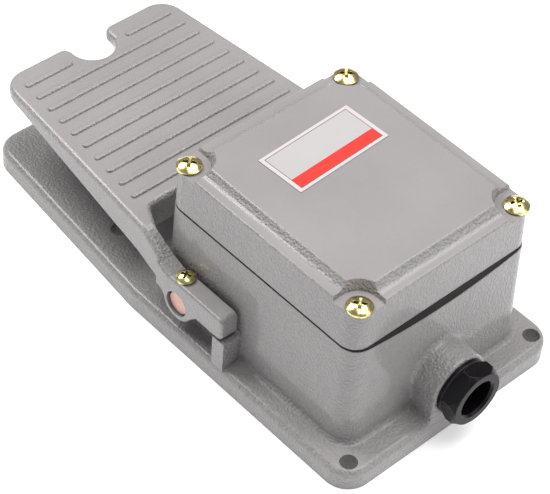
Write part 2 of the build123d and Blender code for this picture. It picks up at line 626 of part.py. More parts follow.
def shaft_seals():
    """a rubber ring outside each bush, round the shaft"""
    ring = Torus(SHAFT_R + SHAFT_CLEAR + SEAL_SECTION / 2, SEAL_SECTION / 2)
    place = Pos(HUB_INNER_X + BUSH_LENGTH + SEAL_SECTION / 2 + 0.1, PIVOT_Y, PIVOT_Z)
    return both_sides(place * Rot(0, 90, 0) * ring)


def actuating_lever():
    """the lever pinned to the shaft; its flat top carries the spring and lifts the plunger"""
    half = LEVER_WIDTH / 2
    lever = across(LEVER_HUB_R, -half, half)
    lever += box((-half, half), (PIVOT_Y, LEVER_END_Y), (LEVER_TOP - LEVER_THICK, LEVER_TOP))
    tip = [e for e in lever.edges().filter_by(Axis.Z) if e.center().Y > LEVER_END_Y - 0.1]
    lever = fillet(tip, 4.0)
    lever += upright(SPRING_MEAN_R - SPRING_WIRE / 2 - 0.4, 0, SPRING_Y, LEVER_TOP - 1, LEVER_TOP + 1.5)
    lever -= across(SHAFT_R + FIT, -half - 1, half + 1)
    return lever - upright(PIN_R + FIT, 0, PIVOT_Y, PIVOT_Z - LEVER_HUB_R - 1, PIVOT_Z + LEVER_HUB_R + 1)


def lever_pin():
    """the pin through the lever's hub and the shaft"""
    pin = upright(PIN_R, 0, PIVOT_Y, PIVOT_Z - LEVER_HUB_R + 0.3, PIVOT_Z + LEVER_HUB_R - 0.3)
    return chamfer(pin.edges().filter_by(GeomType.CIRCLE), 0.3)


def coil_spring(mean_r, wire, turns, x, y, bottom, top):
    """an upright coil spring between two heights"""
    rise = top - bottom - wire
    path = Helix(rise / turns, rise, mean_r)
    section = Plane(origin=path @ 0, z_dir=path % 0) * Circle(wire / 2)
    return Pos(x, y, bottom + wire / 2) * sweep(section, path=path, is_frenet=True)


def return_spring():
    """the compression spring that lifts the pedal back"""
    top = CUP_TOP - CUP_WALL - 0.05
    return coil_spring(SPRING_MEAN_R, SPRING_WIRE, SPRING_TURNS, 0, SPRING_Y, LEVER_TOP + 0.05, top)


def spring_cup():
    """the drawn steel cup over the spring, flanged on the mounting plate"""
    half_x, half_y = RIVET_X + 2 * RIVET_R + 0.3, CUP_R - 0.1
    flange = box((-half_x, half_x), (SPRING_Y - half_y, SPRING_Y + half_y), (BLOCK_Z, BLOCK_Z + CUP_WALL))
    cup = flange + upright(CUP_R, 0, SPRING_Y, BLOCK_Z, CUP_TOP)
    cup -= upright(CUP_R - CUP_WALL, 0, SPRING_Y, BLOCK_Z, CUP_TOP - CUP_WALL)
    for x in (-RIVET_X, RIVET_X):
        cup -= upright(RIVET_R + FIT, x, SPRING_Y, BLOCK_Z, BLOCK_Z + CUP_WALL)
    return cup


def cup_rivets():
    """two rivets through the cup's flange and the mounting plate"""
    rivets = []
    for x in (-RIVET_X, RIVET_X):
        rivet = upright(RIVET_R, x, SPRING_Y, MOUNT_Z, BLOCK_Z + CUP_WALL)
        rivet += upright(2 * RIVET_R, x, SPRING_Y, MOUNT_Z - 0.8, MOUNT_Z)
        rivet += upright(2 * RIVET_R, x, SPRING_Y, BLOCK_Z + CUP_WALL, BLOCK_Z + CUP_WALL + 0.8)
        rivets.append(rivet)
    return rivets


def block_screw_places():
    """the four places where screws hold the contact block down"""
    offset_y = BLOCK_LENGTH / 2 - BLOCK_END / 2
    return corners(CONTACT_X, (PLUNGER_Y - offset_y, PLUNGER_Y + offset_y))


def mounting_plate():
    """the steel plate on the pillars, with holes for the spring and the plunger"""
    middle = sum(PLATE_Y) / 2
    plate = block(PLATE_WIDTH, PLATE_Y[1] - PLATE_Y[0], 3.0, MOUNT_Z, BLOCK_Z, middle)
    plate -= upright(CUP_R - CUP_WALL, 0, SPRING_Y, MOUNT_Z, BLOCK_Z)
    plate -= upright(PLUNGER_R + 1, 0, PLUNGER_Y, MOUNT_Z, BLOCK_Z)
    for x in (-RIVET_X, RIVET_X):
        plate -= upright(RIVET_R + FIT, x, SPRING_Y, MOUNT_Z, BLOCK_Z)
    for x, y in corners(PILLAR_X, PILLAR_Y):
        plate -= upright(M4[0] + SCREW_CLEAR, x, y, MOUNT_Z, BLOCK_Z)
    for x, y in block_screw_places():
        plate -= upright(M3[0] + FIT, x, y, MOUNT_Z, BLOCK_Z)
    return plate


def plate_screws():
    """four screws from the mounting plate into the pillars"""
    return [pan_screw(M4, x, y, BLOCK_Z, MOUNT_Z - PLATE_SCREW_BITE) for x, y in corners(PILLAR_X, PILLAR_Y)]


def contact_block_body():
    """the moulded body: a hollow with two tiers of terminal shelves on each side"""
    half_x, half_y = BLOCK_WIDTH / 2, BLOCK_LENGTH / 2
    shelf_x = half_x + SHELF_REACH
    ends = (PLUNGER_Y - half_y, PLUNGER_Y + half_y)
    body = box((-half_x, half_x), ends, (BLOCK_Z, BLOCK_TOP))
    body += box((-shelf_x, shelf_x), (ends[0] + 1, ends[0] + 1 + SHELF_LENGTH), (BLOCK_Z, CLOSED_SHELF_Z))
    body += box((-shelf_x, shelf_x), (ends[1] - 1 - SHELF_LENGTH, ends[1] - 1), (BLOCK_Z, OPEN_SHELF_Z))
    hollow_x, ends = half_x - BLOCK_SIDE, (ends[0] + BLOCK_END, ends[1] - BLOCK_END)
    body -= box((-hollow_x, hollow_x), ends, (CLOSED_SHELF_Z, BLOCK_TOP))
    body -= upright(PLUNGER_R + SLIDE_CLEAR, 0, PLUNGER_Y, BLOCK_Z, CLOSED_SHELF_Z)
    for y, shelf_z in contact_rows():
        slot = STRIP_WIDTH / 2 + SLIDE_CLEAR
        body -= box((-half_x, half_x), (y - slot, y + slot), (shelf_z, shelf_z + STRIP_THICK + SLIDE_CLEAR))
        for x in (-TERMINAL_X, TERMINAL_X):
            body -= upright(M3[0] + FIT, x, y, shelf_z - TERMINAL_BITE, shelf_z)
    for x, y in block_screw_places():
        body -= upright(M3[0] + FIT, x, y, BLOCK_Z, BLOCK_TOP)
    return body


def contact_rows():
    """each row of fixed contacts: its Y place and the height of its shelf"""
    return [(PLUNGER_Y - CONTACT_OFFSET, CLOSED_SHELF_Z), (PLUNGER_Y + CONTACT_OFFSET, OPEN_SHELF_Z)]


def contact_block_lid():
    """the block's lid, which guides the top of the plunger"""
    half_x, half_y = BLOCK_WIDTH / 2, BLOCK_LENGTH / 2
    lid = box((-half_x, half_x), (PLUNGER_Y - half_y, PLUNGER_Y + half_y), (BLOCK_TOP, BLOCK_TOP + LID_THICK))
    lid -= upright(STEM_R + SLIDE_CLEAR, 0, PLUNGER_Y, BLOCK_TOP, BLOCK_TOP + LID_THICK)
    for x, y in block_screw_places():
        lid -= upright(M3[0] + FIT, x, y, BLOCK_TOP, BLOCK_TOP + LID_THICK)
    return lid


def block_screws():
    """four long screws through lid and body into the mounting plate"""
    return [pan_screw(M3, x, y, BLOCK_TOP + LID_THICK, MOUNT_Z) for x, y in block_screw_places()]


def plunger():
    """the insulating plunger: a domed foot below, a collar under the bridge and a thin stem above"""
    foot = upright(PLUNGER_R, 0, PLUNGER_Y, TIP_Z + PLUNGER_R, BRIDGE_Z)
    foot += Pos(0, PLUNGER_Y, TIP_Z + PLUNGER_R) * Sphere(PLUNGER_R)
    foot += upright(PLUNGER_R + 1.2, 0, PLUNGER_Y, BRIDGE_Z - 1.2, BRIDGE_Z)
    return foot + upright(STEM_R, 0, PLUNGER_Y, BRIDGE_Z, BLOCK_TOP + LID_THICK + 1.5)


def contact_bridge():
    """the moving bridge: a bar with a contact button over or under each fixed contact"""
    top = BRIDGE_Z + BRIDGE_THICK
    bar = block(BRIDGE_WIDTH, BRIDGE_LENGTH, 2.0, BRIDGE_Z, top, PLUNGER_Y)
    return bar - upright(STEM_R + FIT, 0, PLUNGER_Y, BRIDGE_Z, top)


def plunger_spring():
    """the light spring that presses the bridge onto the closed contacts"""
    return coil_spring(STEM_R + 1.0, 0.8, 5, 0, PLUNGER_Y, BRIDGE_Z + BRIDGE_THICK + 0.05, BLOCK_TOP - 0.05)


def contact_strips(y, shelf_z, button_low):
    """one row's two strips, each with its contact button inside and its screw hole outside"""
    inner, outer = CONTACT_X - PAD_R - 0.5, BLOCK_WIDTH / 2 + SHELF_REACH - 0.5
    strip = box((inner, outer), (y - STRIP_WIDTH / 2, y + STRIP_WIDTH / 2), (shelf_z, shelf_z + STRIP_THICK))
    button_z = shelf_z - PAD_THICK if button_low else shelf_z + STRIP_THICK
    strip += upright(PAD_R, CONTACT_X, y, button_z, button_z + PAD_THICK)
    strip -= upright(M3[0] + FIT, TERMINAL_X, y, shelf_z, shelf_z + STRIP_THICK)
    return both_sides(strip)


def contacts_normally_closed():
    """the two strips that the bridge rests on"""
    y, shelf_z = contact_rows()[0]
    return contact_strips(y, shelf_z, button_low=False)


def contacts_normally_open():
    """the two strips that the bridge rises to"""
    y, shelf_z = contact_rows()[1]
    return contact_strips(y, shelf_z, button_low=True)


def terminal_screws():
    """a wire screw on each strip's outer end"""
    screws = []
    for y, shelf_z in contact_rows():
        for x in (-TERMINAL_X, TERMINAL_X):
            screws.append(pan_screw(M3, x, y, shelf_z + STRIP_THICK, shelf_z - TERMINAL_BITE + 0.2))
    return screws


def gland_screw():
    """the hollow gland screw: threaded tube, thin round flange and hexagon bevelled at both ends"""
    hex_start = GLAND_END + GLAND_FLANGE
    hex_end = GLAND_END + GLAND_REACH
    length = hex_end - hex_start
    head = Rot(0, 0, -GLAND_TURN) * extrude(RegularPolygon(GLAND_HEX / 2, 6, major_radius=False), length)
    head &= extrude(Circle(GLAND_HEX / 2 + 0.1), length, taper=-GLAND_BEVEL)
    head &= Pos(0, 0, length) * extrude(Circle(GLAND_HEX / 2 + 0.1), -length, taper=-GLAND_BACK_BEVEL)
    screw = Pos(0, hex_end, GLAND_Z) * Rot(90, 0, 0) * head + along(GLAND_FLANGE_R, GLAND_END, hex_start)
    start = GLAND_END - GLAND_DEPTH + SEAL_LENGTH + WASHER_THICK
    screw += along(GLAND_THREAD_R - FIT, start, GLAND_END)
    screw -= along(GLAND_BORE_R, start - 1, hex_end + 1)
    mouth = [e for e in screw.edges().filter_by(GeomType.CIRCLE) if e.center().Y > hex_end - 0.1]
    return chamfer([e for e in mouth if abs(e.radius - GLAND_BORE_R) < 0.01], 0.8)


def gland_washer():
    """the slip washer between the gland screw and the rubber"""
    start = GLAND_END - GLAND_DEPTH + SEAL_LENGTH
    end = start + WASHER_THICK
    return along(GLAND_THREAD_R - 0.2, start, end) - along(GLAND_BORE_R - 0.6, start, end)


def gland_seal():
    """the rubber ring that is squeezed onto the cable"""
    start = GLAND_END - GLAND_DEPTH
    end = start + SEAL_LENGTH
    return along(GLAND_THREAD_R - FIT, start, end) - along(CABLE_R, start, end)


def earth_screw():
    """the earth screw on its pad in the box"""
    return pan_screw(M4, EARTH_AT[0], EARTH_AT[1], EARTH_Z + 1.0, EARTH_Z - EARTH_BITE + 0.2)


def earth_washer():
    """the washer under the earth screw"""
    ring = upright(M4[1] + 0.5, EARTH_AT[0], EARTH_AT[1], EARTH_Z, EARTH_Z + 1.0)
    return ring - upright(M4[0] + FIT, EARTH_AT[0], EARTH_AT[1], EARTH_Z, EARTH_Z + 1.0)


PIECES = [base_casting, cover, cover_gasket, cover_screws, label_plate, pedal, arm_set_screws, hinge_shaft,
          shaft_bushes, shaft_seals, actuating_lever, lever_pin, return_spring, spring_cup, cup_rivets,
          mounting_plate, plate_screws, contact_block_body, contact_block_lid, block_screws, plunger,
          contact_bridge, plunger_spring, contacts_normally_closed, contacts_normally_open, terminal_screws,
          gland_screw, gland_washer, gland_seal, earth_screw, earth_washer]

for piece in PIECES:
    made = piece()
    solids = made if isinstance(made, list) else [made]
    shape = Compound(children=[s for part in solids for s in part.solids()])
    export_step(shape, f"parts/{piece.__name__}.step")
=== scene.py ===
# %% [markdown]
# # An industrial foot switch
#
# The shapes of this switch come from its CAD model, already in metres and in their right places.
# This notebook adds what a photographer would see: the camera, the light, the floor, and a finish
# for every piece. Each step first says what the thing is on the real switch, then how it could be made
# in Blender, and why it is made this way here.

# %% Load the frame
import json
import math

import bpy
from mathutils import Matrix, Vector


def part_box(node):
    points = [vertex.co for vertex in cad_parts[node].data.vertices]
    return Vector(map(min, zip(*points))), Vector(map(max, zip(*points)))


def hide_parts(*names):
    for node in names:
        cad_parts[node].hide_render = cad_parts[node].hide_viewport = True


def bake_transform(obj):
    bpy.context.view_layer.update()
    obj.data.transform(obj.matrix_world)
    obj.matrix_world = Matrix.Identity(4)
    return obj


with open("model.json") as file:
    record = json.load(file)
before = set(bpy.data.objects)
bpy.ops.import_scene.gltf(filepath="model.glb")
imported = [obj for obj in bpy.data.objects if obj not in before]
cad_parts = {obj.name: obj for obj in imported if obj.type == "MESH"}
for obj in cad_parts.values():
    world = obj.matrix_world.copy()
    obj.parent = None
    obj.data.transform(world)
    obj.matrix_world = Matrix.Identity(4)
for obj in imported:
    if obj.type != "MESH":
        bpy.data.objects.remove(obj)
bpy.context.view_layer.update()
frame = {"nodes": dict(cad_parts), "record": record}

MM = 0.001

# %% [markdown]
# ## Camera
#
# The picture that this scene follows was taken with a long lens, from above the cable end and to one side,
# so that upright edges hardly lean together. A long lens is easy to copy with a place, a point to look at
# and a small roll. The place and the lens below were found by matching corners of the model with the
# corners in the picture. A camera looks along its own -Z, so its axes are built from that direction, and
# the same few lines of arithmetic aim the lights later on.

# %% Make the camera
CAMERA_PLACE = Vector((0.39137, 0.39382, 0.57433))
CAMERA_TARGET = Vector((0.01145, 0.02125, 0.03))
CAMERA_ROLL = math.radians(4.728)
LENS = 138.08
SENSOR = 36.0


def aim(place, target, roll=0.0):
    """the matrix of something at a place that looks along its -Z at a target"""
    turn = (target - place).to_track_quat("-Z", "Y").to_matrix().to_4x4()
    return Matrix.Translation(place) @ turn @ Matrix.Rotation(roll, 4, "Z")


camera = bpy.data.objects.new("camera", bpy.data.cameras.new("camera"))
bpy.context.scene.collection.objects.link(camera)
camera.data.lens = LENS
camera.data.sensor_width = SENSOR
camera.matrix_world = aim(CAMERA_PLACE, CAMERA_TARGET, CAMERA_ROLL)
bpy.context.scene.camera = camera
bpy.context.scene.view_settings.view_transform = "Standard"
print("distance to the switch", round((CAMERA_TARGET - CAMERA_PLACE).length, 3), "m")

# %% [markdown]
# ## Soft boxes
#
# A product picture like this one is lit by large soft boxes. The one overhead is the strongest, so level
# faces are the brightest. One beyond the toe throws sparks off the paint towards the camera, one beside the
# cable end lights the end wall and draws the long soft highlight on its round corner, and a faint one at
# the side keeps the long wall from going flat. A single sun lamp would give hard black shadows, and a
# studio picture wrapped round the scene would hide where the light comes from. Area lights are the tool:
# their size in metres sets how soft the shadows are. A weak pale world stands for the walls of the studio.

# %% Put up the soft boxes
CENTRE = Vector((0.0, 0.0, 0.03))
STUDIO_COLOUR = (0.97, 0.97, 1.0, 1.0)
STUDIO_STRENGTH = 0.27


def soft_box(name, place, size, power, colour):
    """a square area light that faces the switch"""
    light = bpy.data.lights.new(name, "AREA")
    light.shape = "SQUARE"
    light.size = size
    light.energy = power
    light.color = colour
    box = bpy.data.objects.new(name, light)
    bpy.context.scene.collection.objects.link(box)
    box.matrix_world = aim(Vector(place), CENTRE)
    print(name, size, "m wide,", power, "W")


soft_box("top_box", (-0.30, 0.15, 1.30), 1.15, 17.4, (1.0, 0.985, 0.965))
soft_box("side_box", (1.20, -0.35, 0.75), 0.7, 1.4, (0.97, 0.965, 1.0))
soft_box("end_box", (-0.60, 1.25, 0.75), 1.1, 6.4, (0.98, 0.97, 1.0))
soft_box("toe_box", (0.22, -0.85, 1.08), 0.6, 11.8, (1.0, 0.99, 0.98))

world = bpy.data.worlds.new("studio")
world.use_nodes = True
world.node_tree.nodes["Background"].inputs["Color"].default_value = STUDIO_COLOUR
world.node_tree.nodes["Background"].inputs["Strength"].default_value = STUDIO_STRENGTH
bpy.context.scene.world = world

# %% [markdown]
# ## Floor
#
# The switch stands on a light table, a white sheet that glows from below, which is how catalogue pictures
# get their pure white ground. A plain white floor turns grey wherever the switch takes light from it. So
# the floor here gives off a little light of its own: it stays white, keeps only a faint shadow under the
# cable gland, and lights the undersides as a real light table does.

# %% Lay the floor
FLOOR_SIZE = 6.0
TABLE_COLOUR = (0.80, 0.80, 0.805, 1.0)
TABLE_ROUGHNESS = 0.8
TABLE_GLOW = 0.42

bpy.ops.mesh.primitive_plane_add(size=FLOOR_SIZE, location=(0, 0, 0))
floor = bpy.context.object
floor.name = "floor"
table = bpy.data.materials.new("white_table")
table.use_nodes = True
table_shader = table.node_tree.nodes["Principled BSDF"]
table_shader.inputs["Base Color"].default_value = TABLE_COLOUR
table_shader.inputs["Roughness"].default_value = TABLE_ROUGHNESS
table_shader.inputs["Emission Color"].default_value = (1.0, 1.0, 1.0, 1.0)
table_shader.inputs["Emission Strength"].default_value = TABLE_GLOW
floor.data.materials.append(table)
print("floor", FLOOR_SIZE, "m wide, glow", TABLE_GLOW)

# %% [markdown]
# ## A short way to write shaders
#
# Every finish below is a small graph of nodes. It could be drawn by hand in the shader editor, but in
# writing it can be used again with other numbers. One helper makes a material with its main shader and
# puts it on the list of finishes, and one adds a node, sets its options, and fills or links its inputs.
# The object's own coordinates are in metres and move with the piece, so a pattern never slides when the
# pedal turns.

# %% Make materials and nodes
finishes = {}


def new_finish(name):
    """adds a material to the finishes; gives its nodes, its main shader and the object's own coordinates"""
    finishes[name] = bpy.data.materials.new(name)
    finishes[name].use_nodes = True
    tree = finishes[name].node_tree
    place = tree.nodes.new("ShaderNodeTexCoord").outputs["Object"]
    return tree, tree.nodes["Principled BSDF"], place


def add(tree, kind, inputs=None, **options):
    """adds a node; an input is given as a value or as the socket that feeds it"""
    node = tree.nodes.new("ShaderNode" + kind)
    for key, value in options.items():
        setattr(node, key, value)
    for key, value in (inputs or {}).items():
        if isinstance(value, bpy.types.NodeSocket):
            tree.links.new(value, node.inputs[key])
        else:
            node.inputs[key].default_value = value
    return node


def feed(tree, socket, source):
    """links an output to an input"""
    tree.links.new(source, socket)


# %% Steps that the finishes share
NOISE_RANGE = (0.3, 0.7)


def noise(tree, place, size, detail=2.0, roughness=0.5):
    """cloudy noise whose lumps are about size metres across; nearly all of it lies in NOISE_RANGE"""
    inputs = {"Vector": place, "Scale": 1 / size, "Detail": detail, "Roughness": roughness}
    return add(tree, "TexNoise", inputs)


def spread(tree, value, low, high, to_low, to_high):
    """maps a value from one range to another, and stops at the ends"""
    inputs = {"Value": value, "From Min": low, "From Max": high, "To Min": to_low, "To Max": to_high}
    return add(tree, "MapRange", inputs).outputs["Result"]


def sums(tree, operation, first, second=0.0):
    """one step of arithmetic"""
    return add(tree, "Math", {0: first, 1: second}, operation=operation).outputs[0]


def shade(colour, factor=1.0, added=0.0):
    """a lighter or darker version of a colour, with the fourth number that sockets ask for"""
    return [c * factor + added for c in colour] + [1.0]


def blend_colours(tree, share, first, second):
    """the first colour where the share is 0, the second where it is 1"""
    mix = add(tree, "Mix", data_type="RGBA")
    for socket, value in ((mix.inputs[0], share), (mix.inputs[6], first), (mix.inputs[7], second)):
        if isinstance(value, bpy.types.NodeSocket):
            tree.links.new(value, socket)
        else:
            socket.default_value = value
    return mix.outputs[2]


print("half of a mid grey:", shade((0.5, 0.5, 0.5), 0.5))

# %% [markdown]
# ## Edges and nooks
#
# No edge of a casting or a moulding is quite sharp, and each one catches a thin line of light, while a nook
# falls into shade. Here both go into the colour: a painted highlight along the edges and a painted shade in
# the nooks. Both could be painted onto a picture by hand, but two nodes read them from the shape itself, at
# any place and in any pose. Bevel looks a little way along the surface and rounds the shading over an edge,
# and how far it turns the direction tells where the edges are. Ambient Occlusion looks outwards and tells
# how near the walls of a nook stand.

# %% Read the shape
def rounded(tree, radius, samples):
    """the direction that the surface faces, with its edges rounded in the shading"""
    return add(tree, "Bevel", {"Radius": radius}, samples=samples).outputs[0]


def flatness(tree, soft):
    """1 on a flat face, less near an edge, where the rounding has turned the direction"""
    plain = add(tree, "NewGeometry").outputs["Normal"]
    return add(tree, "VectorMath", {0: soft, 1: plain}, operation="DOT_PRODUCT").outputs["Value"]


def openness(tree, reach, samples):
    """1 in the open, less in a nook whose walls stand closer than the reach"""
    return add(tree, "AmbientOcclusion", {"Distance": reach}, samples=samples).outputs["AO"]


def press(tree, shader, height, soft, strength, depth):
    """presses a height pattern into the shading, over the rounded direction if there is one"""
    inputs = {"Height": height, "Strength": strength, "Distance": depth}
    if soft is not None:
        inputs["Normal"] = soft
    feed(tree, shader.inputs["Normal"], add(tree, "Bump", inputs).outputs[0])


# %% [markdown]
# ## Hammered paint
#
# The castings carry a stoved paint that dries into small pebbles, about a millimetre across. On the walls
# they catch the light as a crowd of soft sparks, and on the treadle and the cover the paint has flowed
# flatter. Modelling each pebble would take millions of faces, and they stand only a few tenths of a
# millimetre high, so they are a bump. Its pattern is a smooth cell texture, bent by a noise so that no two
# pebbles are alike, with a finer grain on top and slow waves under it.

# %% Grow the pebbles
SWIRL_SIZE = 2.6 * MM
SWIRL = 1.1 * MM
CELL_SMOOTHNESS = 0.35
CELL_TOP, CELL_RIM = 0.1, 0.75
GRAIN_SIZE = 0.55 * MM
GRAIN_HEIGHT = 0.7
WAVE_SIZE = 9 * MM
WAVE_HEIGHT = 0.5
STEEP, LEVEL = 0.9, 0.995


def pebbles(tree, place, pebble):
    """1 on top of a pebble, 0 in the valley round it"""
    swirl = noise(tree, place, SWIRL_SIZE, 2.0).outputs["Color"]
    bend = add(tree, "VectorMath", {0: swirl, "Scale": SWIRL}, operation="SCALE").outputs[0]
    bent = add(tree, "VectorMath", {0: place, 1: bend}, operation="ADD").outputs[0]
    inputs = {"Vector": bent, "Scale": 1 / pebble, "Smoothness": CELL_SMOOTHNESS}
    cells = add(tree, "TexVoronoi", inputs, feature="SMOOTH_F1")
    return spread(tree, cells.outputs["Distance"], CELL_TOP, CELL_RIM, 1.0, 0.0)


def relief_here(tree, relief, level_relief):
    """how high the pebbles stand: less on level faces, where wet paint flows out"""
    plain = add(tree, "NewGeometry").outputs["Normal"]
    upward = add(tree, "SeparateXYZ", {"Vector": plain}).outputs["Z"]
    return spread(tree, upward, STEEP, LEVEL, relief, level_relief)


def paint_height(tree, place, domes, share):
    """the pebbles with their grain, scaled by the share, and the waves"""
    grain = noise(tree, place, GRAIN_SIZE, 3.0, 0.6).outputs["Fac"]
    waves = noise(tree, place, WAVE_SIZE, 1.0).outputs["Fac"]
    rough = sums(tree, "ADD", domes, sums(tree, "MULTIPLY", grain, GRAIN_HEIGHT))
    slow = sums(tree, "MULTIPLY", waves, WAVE_HEIGHT)
    return sums(tree, "ADD", sums(tree, "MULTIPLY", rough, share), slow)


print("pebble pattern bent by up to", round(SWIRL / MM, 2), "mm")

# %% [markdown]
# The colour follows the same pebbles. Their tops carry a painted highlight and the valleys a painted shade,
# and without that the bump alone looks like plastic. A slow change of tone over some centimetres, painted
# shade in the nooks and painted highlights on the edges complete it. Each is one blend with a small share,
# so that none of them is seen as a pattern of its own.

# %% Tint the paint
TONE_SIZE = 45 * MM
TONE_RANGE, TONE_TINTS = (0.35, 0.65), (0.95, 1.04)
# painted shade: a darker colour in the valleys between the pebbles
VALLEY_SHADE_RANGE, VALLEY_SHADE_SHARE, VALLEY_SHADE_TINT = (0.1, 0.6), 0.09, 0.7
# painted highlight: a paler colour on the pebble tops
TOP_HIGHLIGHT_RANGE, TOP_HIGHLIGHT_SHARE, TOP_HIGHLIGHT_TINT = (0.78, 1.0), 0.16, 1.5
# painted shade: a darker colour in the nooks, as far as the reach below
NOOK_SHADE_RANGE, NOOK_SHADE_SHARE, NOOK_SHADE_TINT = (0.3, 0.8), 0.4, 0.45
NOOK_SHADE_REACH = 4 * MM
# painted highlight: a paler colour along the edges
EDGE_HIGHLIGHT_RANGE, EDGE_HIGHLIGHT_SHARE = (0.995, 0.9), 0.2
EDGE_HIGHLIGHT = (0.50, 0.49, 0.49, 1.0)


def paint_colour(tree, colour, tone, domes, share, soft):
    """the grey, with painted shade in the valleys and nooks, and painted highlights on the pebble tops and
    edges
    """
    drift = spread(tree, tone, *TONE_RANGE, 0.0, 1.0)
    paint = blend_colours(tree, drift, *[shade(colour, tint) for tint in TONE_TINTS])
    # painted shade in the pebble valleys
    valley_shade = sums(tree, "MULTIPLY", spread(tree, domes, *VALLEY_SHADE_RANGE, VALLEY_SHADE_SHARE, 0.0), share)
    paint = blend_colours(tree, valley_shade, paint, shade(colour, VALLEY_SHADE_TINT))
    # painted highlight on the pebble tops
    top_highlight = sums(tree, "MULTIPLY", spread(tree, domes, *TOP_HIGHLIGHT_RANGE, 0.0, TOP_HIGHLIGHT_SHARE), share)
    paint = blend_colours(tree, top_highlight, paint, shade(colour, TOP_HIGHLIGHT_TINT))
    # painted shade in the nooks
    nook_shade = spread(tree, openness(tree, NOOK_SHADE_REACH, 6), *NOOK_SHADE_RANGE, NOOK_SHADE_SHARE, 0.0)
    paint = blend_colours(tree, nook_shade, paint, shade(colour, NOOK_SHADE_TINT))
    # painted highlight along the edges
    edge_highlight_mask = spread(tree, flatness(tree, soft), *EDGE_HIGHLIGHT_RANGE, 0.0, 1.0)
    return blend_colours(tree, sums(tree, "MULTIPLY", edge_highlight_mask, EDGE_HIGHLIGHT_SHARE), paint, EDGE_HIGHLIGHT)


print("tints of the grey:", *TONE_TINTS, "valley_shade", VALLEY_SHADE_TINT, "top_highlight", TOP_HIGHLIGHT_TINT, "nook_shade", NOOK_SHADE_TINT)

# %% Paint the castings
GREY = (0.275, 0.264, 0.264)
PAINT_EDGE = 0.5 * MM
PAINT_DEPTH = 0.20 * MM
PAINT_ROUGHNESS = (0.36, 0.46)
CLEAR_GLOSS, CLEAR_ROUGHNESS = 0.55, 0.10


def hammered_paint(name, relief, level_relief, pebble):
    """stoved paint with a pebbled surface, flatter on level faces, under a thin clear gloss"""
    tree, shader, place = new_finish(name)
    domes = pebbles(tree, place, pebble)
    share = relief_here(tree, relief, level_relief)
    soft = rounded(tree, PAINT_EDGE, 6)
    press(tree, shader, paint_height(tree, place, domes, share), soft, 1.0, PAINT_DEPTH)
    tone = noise(tree, place, TONE_SIZE, 3.0).outputs["Fac"]
    feed(tree, shader.inputs["Base Color"], paint_colour(tree, GREY, tone, domes, share, soft))
    feed(tree, shader.inputs["Roughness"], spread(tree, tone, *NOISE_RANGE, *PAINT_ROUGHNESS))
    shader.inputs["Specular IOR Level"].default_value = 0.5
    shader.inputs["Coat Weight"].default_value = CLEAR_GLOSS
    shader.inputs["Coat Roughness"].default_value = CLEAR_ROUGHNESS


hammered_paint("casting_paint", 2.1, 1.15, 1.05 * MM)
hammered_paint("cover_paint", 1.9, 0.22, 1.05 * MM)
hammered_paint("pedal_paint", 1.5, 0.32, 1.0 * MM)
print("paints:", list(finishes))

# %% [markdown]
# ## Rubber
#
# The gasket is a black cellular rubber, cut from sheet, and it shows only as a thin matt band. The rings
# on the shaft and in the gland are smoother. A flat black would look like a hole, because even black
# rubber has a weak, wide highlight and a fine grain. So one noise feeds the colour, the roughness and the
# bump together, and the highlight is held low.

# %% Make the rubbers
RUBBER_DEPTH = 0.08 * MM
RUBBER_SHINE = 0.22


def rubber(name, colour, roughness, grain_size, relief):
    """dark rubber with a fine grain"""
    tree, shader, place = new_finish(name)
    grain = noise(tree, place, grain_size, 4.0, 0.65).outputs["Fac"]
    feed(tree, shader.inputs["Base Color"], blend_colours(tree, grain, shade(colour), shade(colour, 2.2)))
    uneven = spread(tree, grain, *NOISE_RANGE, roughness - 0.08, roughness + 0.08)
    feed(tree, shader.inputs["Roughness"], uneven)
    press(tree, shader, grain, None, relief, RUBBER_DEPTH)
    shader.inputs["Specular IOR Level"].default_value = RUBBER_SHINE


rubber("gasket_rubber", (0.005, 0.0045, 0.005), 0.72, 0.5 * MM, 0.5)
rubber("seal_rubber", (0.010, 0.010, 0.010), 0.5, 0.3 * MM, 0.2)
print("rubbers:", [name for name in finishes if "rubber" in name])

# %% [markdown]
# ## Metals
#
# The screws are steel, zinc plated and passivated yellow. That film is only a few hundred nanometres
# thick, so its colour drifts between straw, olive and rose across one head. A single gold colour would look
# like jewellery. A noise through a colour ramp gives the drift, a finer one leaves stains, the nooks get a
# painted shade, and the finest noise dulls the metal unevenly. The shaft, the springs and the inner parts
# are the same recipe with other tones.

# %% Tint the metals
# the dark colour below serves both the random stains and the painted shade in the recesses; the recess
# settings after it are painted shade
DIRT_AND_SHADE = (0.05, 0.038, 0.018)
RECESS_SHADE_RANGE, RECESS_SHADE_SHARE = (0.6, 0.97), 0.92
RECESS_SHADE_REACH = 1.0 * MM
STAIN_SIZE = 1.1 * MM
STAIN_RANGE = (0.52, 0.66)


def tone_ramp(tree, place, tones, drift):
    """a colour that drifts between several tones"""
    cloud = noise(tree, place, drift, 3.0, 0.6).outputs["Fac"]
    ramp = add(tree, "ValToRGB", {"Fac": spread(tree, cloud, *NOISE_RANGE, 0.0, 1.0)})
    stops = ramp.color_ramp.elements
    stops[0].color = shade(tones[0])
    stops[1].color = shade(tones[-1])
    for k in range(1, len(tones) - 1):
        stops.new(k / (len(tones) - 1)).color = shade(tones[k])
    return ramp.outputs["Color"]


